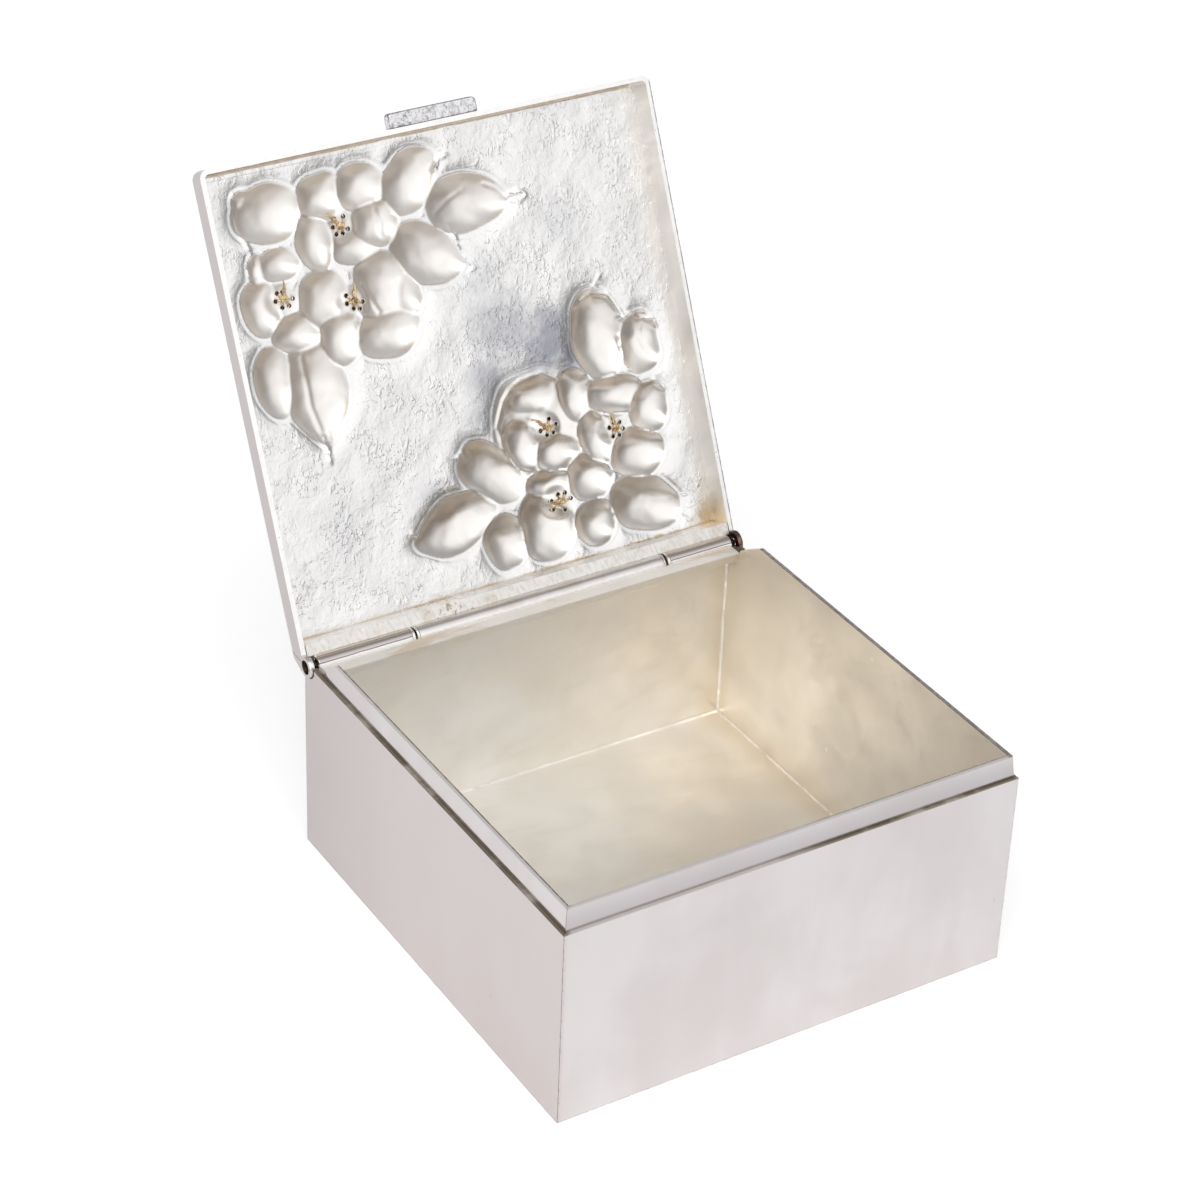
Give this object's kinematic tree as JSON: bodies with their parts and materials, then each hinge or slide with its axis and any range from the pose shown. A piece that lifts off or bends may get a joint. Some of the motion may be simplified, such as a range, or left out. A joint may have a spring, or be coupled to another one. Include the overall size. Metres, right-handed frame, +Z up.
{
  "type": "hinged keepsake box",
  "caption": "Square sheet-metal keepsake box with a stepped liner, tube hinge and open lid embossed with blossoms and wire stamens.",
  "frame": {"origin": "centre of the flat underside", "axes": "+X along the hinge to the right, -Y out of the front, where the closed lid has its thumb tab, +Z up; the lid rests open at the back, towards +Y"},
  "size_m": [0.1164, 0.1674, 0.1542],
  "materials": {
    "polished_plate": "silver plate, polished, faintly pink, with fine scratches and grime in the joints",
    "satin_plate": "silver plate, satin, warm cream where it is shaded, with small solder specks",
    "embossed_plate": "silver plate, hammered ground with smooth pearly petals, tan and gold in the hollows",
    "hinge_tube": "silver plate worn to tan underneath, with dark rings at the splits",
    "tab_plate": "silver plate, finely speckled, with dark edges",
    "stamen_wire": "bare brass, dulled",
    "pin_wire": "dark drawn wire"
  },
  "bodies": {
    "box": {"bottom_plate": "satin_plate", "front_wall": "polished_plate", "back_wall": "polished_plate", "left_wall": "polished_plate", "right_wall": "polished_plate", "liner_front": "satin_plate", "liner_back": "satin_plate", "liner_left": "satin_plate", "liner_right": "satin_plate", "body_bearer": "satin_plate", "body_knuckle_left": "hinge_tube", "body_knuckle_right": "hinge_tube", "hinge_pin": "pin_wire"},
    "lid": {"lid_panel": "embossed_plate", "lid_rim": "polished_plate", "lid_back_wall": "polished_plate", "lid_bearer": "satin_plate", "lid_knuckle": "hinge_tube", "thumb_tab": "tab_plate", "stamen_1_1": "stamen_wire", "stamen_1_2": "stamen_wire", "stamen_1_3": "stamen_wire", "stamen_1_4": "stamen_wire", "stamen_1_5": "stamen_wire", "stamen_1_6": "stamen_wire", "stamen_2_1": "stamen_wire", "stamen_2_2": "stamen_wire", "stamen_2_3": "stamen_wire", "stamen_2_4": "stamen_wire", "stamen_2_5": "stamen_wire", "stamen_2_6": "stamen_wire", "stamen_3_1": "stamen_wire", "stamen_3_2": "stamen_wire", "stamen_3_3": "stamen_wire", "stamen_3_4": "stamen_wire", "stamen_3_5": "stamen_wire", "stamen_3_6": "stamen_wire", "stamen_4_1": "stamen_wire", "stamen_4_2": "stamen_wire", "stamen_4_3": "stamen_wire", "stamen_4_4": "stamen_wire", "stamen_4_5": "stamen_wire", "stamen_4_6": "stamen_wire", "stamen_5_1": "stamen_wire", "stamen_5_2": "stamen_wire", "stamen_5_3": "stamen_wire", "stamen_5_4": "stamen_wire", "stamen_5_5": "stamen_wire", "stamen_5_6": "stamen_wire", "stamen_6_1": "stamen_wire", "stamen_6_2": "stamen_wire", "stamen_6_3": "stamen_wire", "stamen_6_4": "stamen_wire", "stamen_6_5": "stamen_wire", "stamen_6_6": "stamen_wire"}
  },
  "joints": [
    {"name": "lid_hinge", "type": "hinge", "parent": "box", "child": "lid", "pos_m": [0, 0.0554, 0.0491], "axis": [1, 0, 0], "range_deg": [0, 115]}
  ]
}
